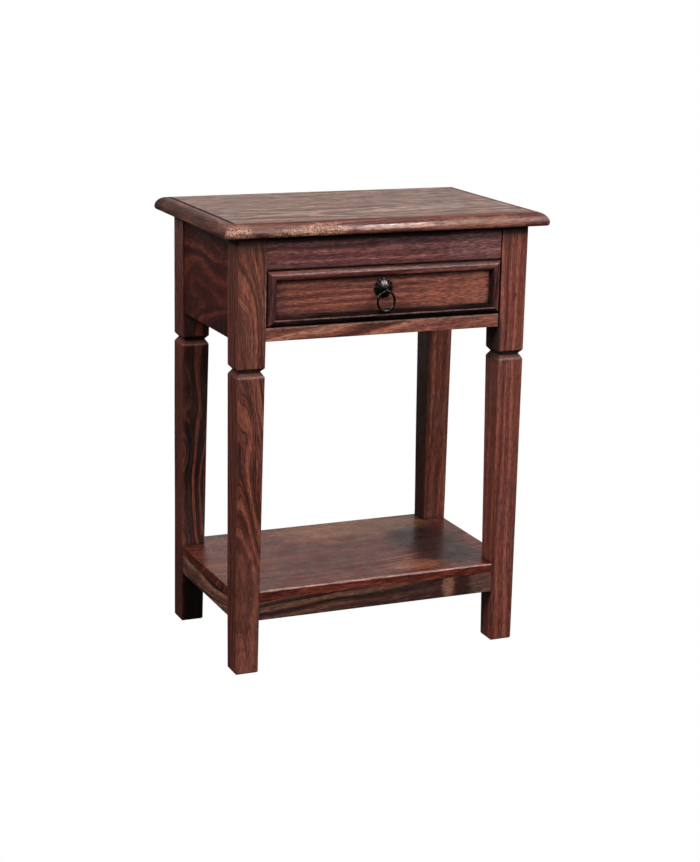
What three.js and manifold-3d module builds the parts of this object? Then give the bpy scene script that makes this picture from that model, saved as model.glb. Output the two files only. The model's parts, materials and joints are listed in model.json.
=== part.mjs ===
// Side table with one drawer and a low shelf, in dark solid hardwood.
// Millimetres. +X is the table's right as seen from the front, the front faces -Y, +Z is up.
// The origin is on the floor, under the middle of the table.
import * as THREE from 'three';
import Module from 'manifold-3d';
import { mergeVertices } from 'three/addons/utils/BufferGeometryUtils.js';

// ---------------------------------------------------------------- driving dimensions
const HEIGHT = 600; // floor to table top
const WIDTH = 410; // over the outer faces of the legs
const DEPTH = 254;
const GAP = 0.3; // between glued or resting neighbours

// Legs: square at the top, tapering on their two inner faces towards the foot
const LEG_TOP = 38;
const LEG_FOOT = 31.5;
const GROOVE_Z = 408; // deepest line of the decorative V groove
const GROOVE_UP = 5; // from there to its upper edge
const GROOVE_DOWN = 6.8; // and to its lower edge
const GROOVE_DEPTH = 4.6;
const FOOT_EASE = 1.5;

// Table top: a flat panel in a mitred frame of thumbnail moulding
const TOP_THICKNESS = 18;
const PANEL_WIDTH = 422;
const PANEL_DEPTH = 251;
const NOSE_OUT = 17.5; // the moulding's reach beyond the panel's edge
const NOSE_DROP = 13.5; // the nose's depth below the table top
const TOP_FLAT = 2; // flat strip of the moulding before its curve starts
const NOSE_TUCK = 2.8; // how far its lower edge lies back from the nose

// Apron: deep boards on the sides and the back, two rails and the drawer at the front
const APRON_Z = 446.5; // lower edge of the apron
const BOARD = 18; // thickness of the aprons and the shelf rails
const SIDE_REVEAL = 1.5; // how far the aprons lie behind the legs' faces
const FRONT_REVEAL = 2;
const BOTTOM_RAIL_HEIGHT = 18;
const BOTTOM_RAIL_DEPTH = 30;
const DRAWER_OPENING = 74;
const TENON = 8; // tenon thickness
const TENON_LENGTH = 22;

// Shelf: a board on four rails
const SHELF_TOP_Z = 112.5;
const SHELF_BOARD = 12;
const SHELF_RAIL = 28; // height of the rails under the board
const SHELF_REVEAL = 0.6;
const SHELF_TENON_LENGTH = 14;

// Drawer
const DRAWER_CLEAR = 1.5; // around the drawer front
const DRAWER_PANEL_RECESS = 3; // the front panel lies this far behind the rails
const DRAWER_FRONT = 16;
const DRAWER_SIDE = 10;
const DRAWER_SIDE_HEIGHT = 68;
const DRAWER_BACK = 8;
const DRAWER_LENGTH = 220; // front panel to the end of the sides
const PLYWOOD = 3;
const HOUSING = 5; // depth of the groove that holds the plywood bottom
const BEAD_WIDTH = 13.5; // applied moulding round the drawer front
const BEAD_HEIGHT = 8;

// Ring pull
const PULL_X = -2.5; // the pull sits a little left of the middle
const PULL_Z = 507.5; // height of its bolt above the floor
const ROSETTE_R = 13.4;
const PETALS = 12;
const PETAL_R = 3.3;
const BOLT_R = 2;
const EYE_OUT = 10; // the eye's centre in front of the drawer panel
const EYE_DROP = 2.5; // and below the bolt
const EYE_R = 3.6;
const EYE_WIRE = 1.25;
const RING_HALF_WIDTH = 12.1; // to the middle of the ring's wire
const RING_HALF_HEIGHT = 13.1;
const RING_WIRE = 1.75;
const ROSETTE_RIM = 1.8;
const DOME_R = 9.2;
const DOME_HEIGHT = 2.7;
const WASHER = 1;
const NUT = 3.2;

// ---------------------------------------------------------------- values that follow from them
const HALF_W = WIDTH / 2;
const HALF_D = DEPTH / 2;
const UNDER_TOP = HEIGHT - TOP_THICKNESS;
const INSIDE_W = WIDTH - 2 * LEG_TOP; // between the legs
const INSIDE_D = DEPTH - 2 * LEG_TOP;
const FRONT_FACE = -HALF_D + FRONT_REVEAL; // front of the two rails
const OPENING_Z = APRON_Z + BOTTOM_RAIL_HEIGHT; // the drawer opening's sill
const LINTEL_Z = OPENING_Z + DRAWER_OPENING; // and its head
const BACK_INNER = HALF_D - SIDE_REVEAL - BOARD; // inner face of the back apron
const SIDE_INNER = HALF_W - SIDE_REVEAL - BOARD; // inner face of the side aprons
const SHELF_UNDER = SHELF_TOP_Z - SHELF_BOARD;
const legSize = (z) => LEG_FOOT + (LEG_TOP - LEG_FOOT) * Math.min(1, z / APRON_Z);

// ---------------------------------------------------------------- materials
const wood = (colour) => new THREE.MeshStandardMaterial({ color: colour, roughness: 0.42, metalness: 0 });
const legWood = wood(0x5a322a);
const apronWood = wood(0x4d2a24);
const topWood = wood(0x6a453b);
const shelfWood = wood(0x5c3d34);
const drawerWood = wood(0x693e34);
const innerWood = wood(0x9a6f4c);
const plywood = wood(0xb08a60);
const blackIron = new THREE.MeshStandardMaterial({ color: 0x15120f, roughness: 0.45, metalness: 0.8 });
const steel = new THREE.MeshStandardMaterial({ color: 0x9a9a96, roughness: 0.4, metalness: 1 });

// ---------------------------------------------------------------- solids
const wasm = await Module();
wasm.setup();

// A closed three.js geometry as a manifold solid.
function solid(geometry) {
  const bare = geometry.index ? geometry.toNonIndexed() : geometry.clone();
  bare.deleteAttribute('normal');
  bare.deleteAttribute('uv');
  const merged = mergeVertices(bare, 1e-3);
  return new wasm.Manifold(new wasm.Mesh({
    numProp: 3,
    vertProperties: merged.attributes.position.array,
    triVerts: new Uint32Array(merged.index.array),
  }));
}

// A manifold solid as a three.js geometry.
function geometry(made) {
  const mesh = made.getMesh();
  const result = new THREE.BufferGeometry();
  result.setAttribute('position', new THREE.BufferAttribute(mesh.vertProperties, 3));
  result.setIndex(new THREE.BufferAttribute(mesh.triVerts, 1));
  result.computeVertexNormals();
  return result;
}

const cut = (from, ...tools) =>
  geometry(tools.reduce((left, tool) => left.subtract(solid(tool)), solid(from)));
const join = (...pieces) =>
  geometry(pieces.map(solid).reduce((all, piece) => all.add(piece)));
const common = (a, b) => geometry(solid(a).intersect(solid(b)));

// A box between two corners.
function box(x0, x1, y0, y1, z0, z1) {
  const made = new THREE.BoxGeometry(x1 - x0, y1 - y0, z1 - z0);
  return made.translate((x0 + x1) / 2, (y0 + y1) / 2, (z0 + z1) / 2);
}

function outline(points) {
  return new THREE.Shape(points.map(([a, b]) => new THREE.Vector2(a, b)));
}

// A shape drawn in XY, raised from z0 to z1.
function raised(shape, z0, z1) {
  const made = new THREE.ExtrudeGeometry(shape, { depth: z1 - z0, bevelEnabled: false, curveSegments: 10 });
  return made.translate(0, 0, z0);
}

// A shape drawn in XZ, drawn out along Y from y0 to y1.
const alongY = (shape, y0, y1) => raised(shape, -y1, -y0).rotateX(Math.PI / 2);

// A shape drawn in YZ, drawn out along X from x0 to x1.
const alongX = (shape, x0, x1) => raised(shape, x0, x1).rotateX(Math.PI / 2).rotateZ(Math.PI / 2);

// A geometry whose own X, Y and Z axes are laid along the given directions.
function turned(made, x, y, z) {
  const axes = [x, y, z].map((axis) => new THREE.Vector3(...axis));
  return made.applyMatrix4(new THREE.Matrix4().makeBasis(...axes));
}

// A round bar along Y.
function barAlongY(radius, y0, y1, x = 0, z = 0) {
  return new THREE.CylinderGeometry(radius, radius, y1 - y0, 20).translate(x, (y0 + y1) / 2, z);
}

// A span of X on the right side of the table, or its mirror image on the left.
const span = (side, a, b) => (side > 0 ? [a, b] : [-b, -a]);

// ---------------------------------------------------------------- the tree
const table = new THREE.Group();
const drawer = new THREE.Group();
const pull = new THREE.Group();
table.add(drawer);
drawer.add(pull);

function place(parent, name, shape, material, position = [0, 0, 0], turn = 0) {
  const mesh = new THREE.Mesh(shape, material);
  mesh.name = name;
  mesh.position.set(...position);
  mesh.rotation.z = turn;
  parent.add(mesh);
  return mesh;
}

// ---------------------------------------------------------------- legs
// Drawn from the leg's outer corner, with +X and +Y towards the inside of the table.
function legOutline() {
  const outer = [
    [0, UNDER_TOP - GAP], [0, GROOVE_Z + GROOVE_UP], [GROOVE_DEPTH, GROOVE_Z],
    [0, GROOVE_Z - GROOVE_DOWN], [0, FOOT_EASE], [FOOT_EASE, 0],
  ];
  const inner = [
    [legSize(0) - FOOT_EASE, 0], [legSize(FOOT_EASE), FOOT_EASE],
    [legSize(GROOVE_Z - GROOVE_DOWN), GROOVE_Z - GROOVE_DOWN],
    [legSize(GROOVE_Z) - GROOVE_DEPTH, GROOVE_Z],
    [legSize(GROOVE_Z + GROOVE_UP), GROOVE_Z + GROOVE_UP],
    [LEG_TOP, APRON_Z], [LEG_TOP, UNDER_TOP - GAP],
  ];
  return outline([...outer, ...inner]);
}

// Where a tenon enters a leg: its distance behind the leg's face, its height and its length.
const panelTenon = (reveal) => ({
  face: reveal + (BOARD - TENON) / 2, z0: APRON_Z + 12, z1: UNDER_TOP - 12, length: TENON_LENGTH,
});
const topRailTenon = {
  face: FRONT_REVEAL + (BOARD - TENON) / 2, z0: LINTEL_Z + 7, z1: UNDER_TOP - 9, length: TENON_LENGTH,
};
const bottomRailTenon = {
  face: FRONT_REVEAL + 6, z0: APRON_Z + 4, z1: OPENING_Z - 4, length: TENON_LENGTH,
};
const shelfTenon = {
  face: SHELF_REVEAL + (BOARD - TENON) / 2,
  z0: SHELF_UNDER - SHELF_RAIL + 5,
  z1: SHELF_UNDER - 5,
  length: SHELF_TENON_LENGTH,
};

// The mortise for a tenon that runs along X or along Y, in the leg's own frame.
function mortise(tenon, axis) {
  const near = [tenon.face - GAP, tenon.face + TENON + GAP];
  const reach = [legSize(tenon.z0) - tenon.length - GAP, LEG_TOP + 5];
  const z = [tenon.z0 - GAP, tenon.z1 + GAP];
  return axis === 'x' ? box(...reach, ...near, ...z) : box(...near, ...reach, ...z);
}

function leg(atFront) {
  const post = common(alongY(legOutline(), 0, LEG_TOP), alongX(legOutline(), 0, LEG_TOP));
  const across = atFront ? [topRailTenon, bottomRailTenon] : [panelTenon(SIDE_REVEAL)];
  return cut(
    post,
    ...across.map((tenon) => mortise(tenon, 'x')),
    mortise(panelTenon(SIDE_REVEAL), 'y'),
    mortise(shelfTenon, 'x'),
    mortise(shelfTenon, 'y'),
  );
}

for (const [end, toBack] of [['front', 1], ['back', -1]]) {
  for (const [side, toRight] of [['left', 1], ['right', -1]]) {
    const mesh = place(table, `leg_${end}_${side}`, leg(end === 'front'), legWood,
      [-toRight * HALF_W, -toBack * HALF_D, 0]);
    mesh.scale.set(toRight, toBack, 1);
  }
}

// ---------------------------------------------------------------- rails and aprons
// A board along X between two legs, with a tenon at each end. Its outer face is at y = 0, and it is
// thick towards +Y. inside is the clear width between the legs' square tops: the ends follow their taper.
function tenonedBoard(inside, z0, z1, thickness, tenon, reveal) {
  const end = (z) => inside / 2 + LEG_TOP - legSize(z) - GAP;
  const face = outline([[-end(z0), z0], [end(z0), z0], [end(z1), z1], [-end(z1), z1]]);
  const body = alongY(face, 0, thickness);
  const reach = inside / 2 + LEG_TOP - legSize(tenon.z0) + tenon.length;
  const behind = tenon.face - reveal;
  const tongue = box(-reach, reach, behind, behind + TENON, tenon.z0, tenon.z1);
  return join(body, tongue);
}

function apronBoard(inside) {
  const top = UNDER_TOP - GAP;
  return tenonedBoard(inside, APRON_Z, top, BOARD, panelTenon(SIDE_REVEAL), SIDE_REVEAL);
}
place(table, 'apron_left', apronBoard(INSIDE_D), apronWood, [-HALF_W + SIDE_REVEAL, 0, 0], -Math.PI / 2);
place(table, 'apron_right', apronBoard(INSIDE_D), apronWood, [HALF_W - SIDE_REVEAL, 0, 0], Math.PI / 2);
place(table, 'apron_back', apronBoard(INSIDE_W), apronWood, [0, HALF_D - SIDE_REVEAL, 0], Math.PI);

place(table, 'rail_above_drawer',
  tenonedBoard(INSIDE_W, LINTEL_Z, UNDER_TOP - GAP, BOARD, topRailTenon, FRONT_REVEAL),
  apronWood, [0, FRONT_FACE, 0]);
place(table, 'rail_below_drawer',
  tenonedBoard(INSIDE_W, APRON_Z, OPENING_Z, BOTTOM_RAIL_DEPTH, bottomRailTenon, FRONT_REVEAL),
  drawerWood, [0, FRONT_FACE, 0]);

// ---------------------------------------------------------------- shelf
function shelfRail(inside) {
  const top = SHELF_UNDER - GAP;
  return tenonedBoard(inside, SHELF_UNDER - SHELF_RAIL, top, BOARD, shelfTenon, SHELF_REVEAL);
}
const shelfFace = HALF_D - SHELF_REVEAL;
const shelfEnd = HALF_W - SHELF_REVEAL;
place(table, 'shelf_rail_front', shelfRail(INSIDE_W), shelfWood, [0, -shelfFace, 0]);
place(table, 'shelf_rail_back', shelfRail(INSIDE_W), shelfWood, [0, shelfFace, 0], Math.PI);
place(table, 'shelf_rail_left', shelfRail(INSIDE_D), shelfWood, [-shelfEnd, 0, 0], -Math.PI / 2);
place(table, 'shelf_rail_right', shelfRail(INSIDE_D), shelfWood, [shelfEnd, 0, 0], Math.PI / 2);

// The shelf board, notched round the four legs.
function shelfBoard() {
  const notch = legSize(SHELF_TOP_Z) + GAP;
  const x = HALF_W - notch;
  const y = HALF_D - notch;
  return raised(outline([
    [-x, -shelfFace], [x, -shelfFace], [x, -y], [shelfEnd, -y], [shelfEnd, y], [x, y],
    [x, shelfFace], [-x, shelfFace], [-x, y], [-shelfEnd, y], [-shelfEnd, -y], [-x, -y],
  ]), SHELF_UNDER, SHELF_TOP_Z);
}
place(table, 'shelf_board', shelfBoard(), shelfWood);

// ---------------------------------------------------------------- table top
// The edge moulding's section: x is the distance outside the panel's edge, y the height above the floor.
function noseSection() {
  const section = new THREE.Shape();
  section.moveTo(GAP, HEIGHT);
  section.lineTo(TOP_FLAT, HEIGHT);
  const noseZ = HEIGHT - NOSE_DROP;
  section.absellipse(TOP_FLAT, noseZ, NOSE_OUT - TOP_FLAT, NOSE_DROP, Math.PI / 2, 0, true, 0);
  section.absellipse(NOSE_OUT - NOSE_TUCK, noseZ, NOSE_TUCK, noseZ - UNDER_TOP, 0, -Math.PI / 2, true, 0);
  section.lineTo(GAP, UNDER_TOP);
  return section;
}

// A strip of that section along X, mitred at both ends. Its inside lies on y = 0, where it is inner long.
function topStrip(inner) {
  const half = inner / 2 - GAP / 2;
  const wide = NOSE_OUT + 2;
  const reach = half + wide;
  const bar = turned(raised(noseSection(), -reach, reach), [0, -1, 0], [0, 0, 1], [-1, 0, 0]);
  const bevels = outline([[-half, 0], [-reach, -wide], [reach, -wide], [half, 0]]);
  return common(bar, raised(bevels, UNDER_TOP - 1, HEIGHT + 1));
}
place(table, 'top_moulding_front', topStrip(PANEL_WIDTH), topWood, [0, -PANEL_DEPTH / 2, 0]);
place(table, 'top_moulding_back', topStrip(PANEL_WIDTH), topWood, [0, PANEL_DEPTH / 2, 0], Math.PI);
place(table, 'top_moulding_left', topStrip(PANEL_DEPTH), topWood, [-PANEL_WIDTH / 2, 0, 0], -Math.PI / 2);
place(table, 'top_moulding_right', topStrip(PANEL_DEPTH), topWood, [PANEL_WIDTH / 2, 0, 0], Math.PI / 2);

// ---------------------------------------------------------------- blocks and screws that hold the top down
const BLOCK = 18;
const BLOCK_LENGTH = 44;
const SCREW_R = 1.9;
const SCREW_HEAD_R = 3.8;
const SCREW_LENGTH = 30;
const blockX = SIDE_INNER - GAP - BLOCK / 2;
const screwBottom = UNDER_TOP - GAP - BLOCK + 0.4; // the head lies just inside the block
const blockSpots = [
  ['front_left', -1, -52], ['front_right', 1, -52], ['back_left', -1, 52], ['back_right', 1, 52],
];

function screw(inflate = 0) {
  const r = SCREW_R + inflate;
  const head = SCREW_HEAD_R + inflate;
  const profile = [
    [0, -inflate], [head, -inflate], [head, 0.6], [r, 0.6 + head - r],
    [r, SCREW_LENGTH - 6], [0.5 + inflate, SCREW_LENGTH], [0, SCREW_LENGTH + inflate],
  ];
  const made = new THREE.LatheGeometry(profile.map(([x, y]) => new THREE.Vector2(x, y)), 16);
  return made.rotateX(Math.PI / 2);
}

const topPanel = raised(outline([
  [-PANEL_WIDTH / 2, -PANEL_DEPTH / 2], [PANEL_WIDTH / 2, -PANEL_DEPTH / 2],
  [PANEL_WIDTH / 2, PANEL_DEPTH / 2], [-PANEL_WIDTH / 2, PANEL_DEPTH / 2],
]), UNDER_TOP, HEIGHT);
const screwHoles = blockSpots.map(([, side, y]) => screw(GAP).translate(side * blockX, y, screwBottom));
place(table, 'top_panel', cut(topPanel, ...screwHoles), topWood);

const screwSlot = box(-SCREW_HEAD_R, SCREW_HEAD_R, -0.4, 0.4, -1, 0.8);
for (const [where, side, y] of blockSpots) {
  const top = UNDER_TOP - GAP;
  const block = box(-BLOCK / 2, BLOCK / 2, -BLOCK_LENGTH / 2, BLOCK_LENGTH / 2, top - BLOCK, top);
  const hole = screw(GAP).translate(0, 0, screwBottom);
  place(table, `glue_block_${where}`, cut(block, hole), innerWood, [side * blockX, y, 0]);
  place(table, `top_screw_${where}`, cut(screw(), screwSlot), steel, [side * blockX, y, screwBottom]);
}

// ---------------------------------------------------------------- what the drawer runs on
// A runner or kicker: a strip beside the drawer's path, notched round the two legs.
const SLIDE_STRIP = 12; // its thickness
const STRIP_INNER = 150; // its edge nearest the middle of the table
const legEdge = HALF_W - LEG_TOP - GAP;
function notchedStrip(side, z0) {
  const front = FRONT_FACE + BOTTOM_RAIL_DEPTH + GAP;
  const back = BACK_INNER - GAP;
  const legsInner = HALF_D - LEG_TOP - GAP;
  const wide = SIDE_INNER - GAP;
  const points = [
    [STRIP_INNER, front], [legEdge, front], [legEdge, -legsInner], [wide, -legsInner],
    [wide, legsInner], [legEdge, legsInner], [legEdge, back], [STRIP_INNER, back],
  ];
  return raised(outline(points.map(([x, y]) => [side * x, y])), z0, z0 + SLIDE_STRIP);
}

const sides = [['left', -1], ['right', 1]];
for (const [name, side] of sides) {
  const y = HALF_D - LEG_TOP - GAP;
  const guide = box(...span(side, INSIDE_W / 2, SIDE_INNER - GAP), -y, y, OPENING_Z + GAP, OPENING_Z + 16);
  place(table, `drawer_runner_${name}`, notchedStrip(side, OPENING_Z - SLIDE_STRIP), innerWood);
  place(table, `drawer_kicker_${name}`, notchedStrip(side, LINTEL_Z), innerWood);
  place(table, `drawer_guide_${name}`, guide, innerWood);
}

// Two blocks on the back apron that the closed drawer comes up against.
const drawerY = FRONT_FACE + DRAWER_PANEL_RECESS;
const drawerZ = OPENING_Z + DRAWER_CLEAR;
const STOP = 20;
for (const [name, side] of sides) {
  const y = [drawerY + DRAWER_LENGTH + GAP, BACK_INNER - GAP];
  const stop = box(-STOP / 2, STOP / 2, ...y, OPENING_Z + STOP, OPENING_Z + 2 * STOP);
  place(table, `drawer_stop_${name}`, stop, innerWood, [side * (legEdge - STOP / 2), 0, 0]);
}

// ---------------------------------------------------------------- drawer
// In the drawer's frame, y = 0 is the face of its front panel and z = 0 is the panel's lower edge.
drawer.position.set(0, drawerY, drawerZ);
const frontHalf = INSIDE_W / 2 - DRAWER_CLEAR - GAP;
const frontHeight = DRAWER_OPENING - 2 * DRAWER_CLEAR;
const sideInner = frontHalf - DRAWER_SIDE;
const sideZ = -DRAWER_CLEAR + GAP; // the sides run on the runners, just below the front
const sideTop = sideZ + DRAWER_SIDE_HEIGHT;
const ply = [5.2, 5.2 + PLYWOOD]; // heights of the plywood bottom's faces
const groove = [ply[0] - GAP, ply[1] + GAP];
const LAP = 6; // wood left at the front panel's ends, in front of the sides
const pullZ = PULL_Z - drawerZ;
const boltEnd = DRAWER_FRONT + WASHER + NUT + 2.5;

const rebate = (side) =>
  box(...span(side, sideInner - GAP, frontHalf + 1), LAP, DRAWER_FRONT + 1, -1, sideTop + GAP);
place(drawer, 'drawer_front', cut(
  box(-frontHalf, frontHalf, 0, DRAWER_FRONT, 0, frontHeight),
  rebate(-1),
  rebate(1),
  box(-sideInner - 1, sideInner + 1, DRAWER_FRONT - HOUSING, DRAWER_FRONT + 1, ...groove),
  barAlongY(BOLT_R + GAP, -1, DRAWER_FRONT + 1, PULL_X, pullZ),
), drawerWood);

const DADO = 4; // how far the back board is let into the sides
const backY = DRAWER_LENGTH - 8 - DRAWER_BACK; // front face of the back board
for (const [name, side] of sides) {
  place(drawer, `drawer_side_${name}`, cut(
    box(...span(side, sideInner, frontHalf), LAP + GAP, DRAWER_LENGTH, sideZ, sideTop),
    box(...span(side, sideInner - 1, sideInner + HOUSING), LAP, DRAWER_LENGTH + 1, ...groove),
    box(...span(side, sideInner - 1, sideInner + DADO),
      backY - GAP, backY + DRAWER_BACK + GAP, groove[0], sideTop + 1),
  ), innerWood);
}

const backHalf = sideInner + DADO - GAP;
const backBoard = box(-backHalf, backHalf, backY, backY + DRAWER_BACK, ply[1] + GAP, sideTop - 6);
place(drawer, 'drawer_back', backBoard, innerWood);
const plyHalf = sideInner + HOUSING - GAP;
place(drawer, 'drawer_bottom',
  box(-plyHalf, plyHalf, DRAWER_FRONT - HOUSING + GAP, DRAWER_LENGTH - 2, ...ply), plywood);

// The moulding round the drawer front: x is the distance inwards from its outer edge, y the height
// above the panel.
function beadSection() {
  const section = new THREE.Shape();
  section.moveTo(0, GAP);
  section.lineTo(0, 2.5);
  section.absellipse(8, 2.5, 8, BEAD_HEIGHT - 2.5, Math.PI, Math.PI / 2, true, 0);
  section.lineTo(9, BEAD_HEIGHT);
  section.quadraticCurveTo(10.2, 3, BEAD_WIDTH, 2);
  section.lineTo(BEAD_WIDTH, GAP);
  return section;
}

// A strip of that section whose outer edge is at y = 0 and whose inside is towards +Y, lying on z = 0.
function bead(outerLength) {
  const reach = outerLength / 2 - GAP / 2;
  const inner = reach - BEAD_WIDTH;
  const bar = turned(raised(beadSection(), -reach, reach), [0, 1, 0], [0, 0, 1], [1, 0, 0]);
  const bevels = outline([[-reach, 0], [reach, 0], [inner, BEAD_WIDTH], [-inner, BEAD_WIDTH]]);
  return common(bar, raised(bevels, 0, BEAD_HEIGHT + 1));
}

// The four strips are laid out flat round the panel's middle, then stood up against it.
const beads = [
  ['bottom', 2 * frontHalf, 0, [0, -frontHeight / 2]],
  ['top', 2 * frontHalf, Math.PI, [0, frontHeight / 2]],
  ['left', frontHeight, -Math.PI / 2, [-frontHalf, 0]],
  ['right', frontHeight, Math.PI / 2, [frontHalf, 0]],
];
for (const [name, length, turn, [x, y]] of beads) {
  const strip = bead(length).rotateZ(turn).translate(x, y, 0).rotateX(Math.PI / 2);
  place(drawer, `drawer_bead_${name}`, strip, drawerWood, [0, 0, frontHeight / 2]);
}

// ---------------------------------------------------------------- ring pull
// In the pull's frame the bolt lies along Y through the origin, and y = 0 is the face of the drawer panel.
pull.position.set(PULL_X, 0, pullZ);

// A plate with a scalloped rim and a domed middle, bored for the bolt.
function rosette() {
  const petals = Array.from({ length: PETALS }, (_, i) => {
    const angle = (i / PETALS) * 2 * Math.PI;
    const out = ROSETTE_R - PETAL_R;
    const disc = new THREE.CylinderGeometry(PETAL_R * 0.8, PETAL_R, ROSETTE_RIM, 12);
    return disc.translate(out * Math.cos(angle), ROSETTE_RIM / 2, out * Math.sin(angle));
  });
  const plate = new THREE.CylinderGeometry(DOME_R + 1, DOME_R + 1.4, ROSETTE_RIM + 0.4, 32);
  const arc = new THREE.EllipseCurve(0, ROSETTE_RIM, DOME_R, DOME_HEIGHT, 0, Math.PI / 2).getPoints(7);
  const dome = new THREE.LatheGeometry([new THREE.Vector2(0, 1), new THREE.Vector2(DOME_R, 1), ...arc], 32);
  const bore = new THREE.CylinderGeometry(BOLT_R + GAP, BOLT_R + GAP, 20, 20);
  return cut(join(plate.translate(0, ROSETTE_RIM / 2 + 0.2, 0), dome, ...petals), bore);
}
place(pull, 'pull_rosette', rosette().rotateX(Math.PI).translate(0, -GAP, 0), blackIron);

// The eye's hole runs along X, and its neck is the bolt that passes through the drawer front.
function eyeBolt() {
  const eye = new THREE.TorusGeometry(EYE_R, EYE_WIRE, 10, 28).rotateY(Math.PI / 2);
  const hole = new THREE.CylinderGeometry(EYE_R - EYE_WIRE, EYE_R - EYE_WIRE, 8, 28).rotateZ(Math.PI / 2);
  const neck = barAlongY(BOLT_R, -EYE_OUT + EYE_R - 1.2, boltEnd);
  return cut(join(eye.translate(0, -EYE_OUT, -EYE_DROP), neck), hole.translate(0, -EYE_OUT, -EYE_DROP));
}
place(pull, 'pull_eye_bolt', eyeBolt(), blackIron);

// The oval ring hangs in the eye, with the middle of its wire at the swing axis.
class Oval extends THREE.Curve {
  getPoint(t, target = new THREE.Vector3()) {
    const angle = 2 * Math.PI * t;
    return target.set(RING_HALF_WIDTH * Math.sin(angle), 0, RING_HALF_HEIGHT * (Math.cos(angle) - 1));
  }
}
const swingZ = -EYE_DROP - (EYE_R - EYE_WIRE) + RING_WIRE + GAP / 2;
place(pull, 'pull_ring', new THREE.TubeGeometry(new Oval(), 44, RING_WIRE, 10, true), blackIron,
  [0, -EYE_OUT, swingZ]);

function collar(radius, length, corners) {
  const outer = new THREE.CylinderGeometry(radius, radius, length, corners);
  const bore = new THREE.CylinderGeometry(BOLT_R + GAP, BOLT_R + GAP, length + 2, 20);
  return cut(outer, bore);
}
const washerY = DRAWER_FRONT + GAP;
place(pull, 'pull_washer', collar(5, WASHER, 24), steel, [0, washerY + WASHER / 2, 0]);
place(pull, 'pull_nut', collar(4, NUT, 6), steel, [0, washerY + WASHER + GAP + NUT / 2, 0]);

export default table;
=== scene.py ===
"""Side table with one drawer: its fine surfaces, wood, iron, studio and camera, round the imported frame.

Lengths are in metres, and +X, -Y and +Z are the table's right, front and top, as in the frame.
"""

import json
import math

import bmesh
import bpy
from mathutils import Matrix, Vector, noise


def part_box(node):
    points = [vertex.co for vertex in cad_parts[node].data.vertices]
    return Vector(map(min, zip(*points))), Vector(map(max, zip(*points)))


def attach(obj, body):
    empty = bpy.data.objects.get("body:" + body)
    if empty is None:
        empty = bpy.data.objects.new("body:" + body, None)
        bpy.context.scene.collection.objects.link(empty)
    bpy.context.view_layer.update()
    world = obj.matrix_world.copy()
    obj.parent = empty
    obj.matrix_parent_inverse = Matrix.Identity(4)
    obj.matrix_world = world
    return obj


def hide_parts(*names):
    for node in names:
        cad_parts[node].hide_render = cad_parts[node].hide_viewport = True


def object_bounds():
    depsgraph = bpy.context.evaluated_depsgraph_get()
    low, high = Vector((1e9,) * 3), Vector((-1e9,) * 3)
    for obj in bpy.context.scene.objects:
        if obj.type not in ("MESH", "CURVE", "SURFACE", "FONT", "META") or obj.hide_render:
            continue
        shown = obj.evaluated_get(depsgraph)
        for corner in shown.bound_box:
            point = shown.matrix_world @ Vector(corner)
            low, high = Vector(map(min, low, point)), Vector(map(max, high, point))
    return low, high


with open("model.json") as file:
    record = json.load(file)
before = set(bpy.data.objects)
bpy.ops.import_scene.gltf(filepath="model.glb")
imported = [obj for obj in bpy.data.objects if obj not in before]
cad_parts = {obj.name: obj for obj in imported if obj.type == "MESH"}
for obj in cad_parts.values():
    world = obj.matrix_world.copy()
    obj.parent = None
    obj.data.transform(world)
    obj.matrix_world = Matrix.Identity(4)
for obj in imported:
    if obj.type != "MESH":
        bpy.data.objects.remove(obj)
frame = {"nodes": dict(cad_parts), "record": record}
cad_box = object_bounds()
MM = 0.001

# ---------------------------------------------------------------- camera
CAMERA_PLACE = Vector((-1.0325, -2.3784, 0.9556))
CAMERA_YAW = math.radians(23.63)  # turned to the table's right
CAMERA_PITCH = math.radians(14.49)  # down
CAMERA_ROLL = math.radians(1.245)
CAMERA_LENS = 80.94


def make_camera():
    data = bpy.data.cameras.new("camera")
    data.lens = CAMERA_LENS
    data.sensor_width = 36.0
    data.clip_end = 100.0
    ahead = Vector((
        math.sin(CAMERA_YAW) * math.cos(CAMERA_PITCH),
        math.cos(CAMERA_YAW) * math.cos(CAMERA_PITCH),
        -math.sin(CAMERA_PITCH),
    ))
    level = Vector((math.cos(CAMERA_YAW), -math.sin(CAMERA_YAW), 0))
    above = level.cross(ahead)
    right = level * math.cos(CAMERA_ROLL) + above * math.sin(CAMERA_ROLL)
    up = above * math.cos(CAMERA_ROLL) - level * math.sin(CAMERA_ROLL)
    camera = bpy.data.objects.new("camera", data)
    turn = Matrix((right, up, -ahead)).transposed().to_4x4()
    camera.matrix_world = Matrix.Translation(CAMERA_PLACE) @ turn
    bpy.context.scene.collection.objects.link(camera)
    bpy.context.scene.camera = camera


make_camera()

# ---------------------------------------------------------------- shader nodes


def linear(red, green, blue):
    """A colour given in screen values from 0 to 255, as the shader reads it."""
    return (*(((c / 255 + 0.055) / 1.055) ** 2.4 for c in (red, green, blue)), 1.0)


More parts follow.
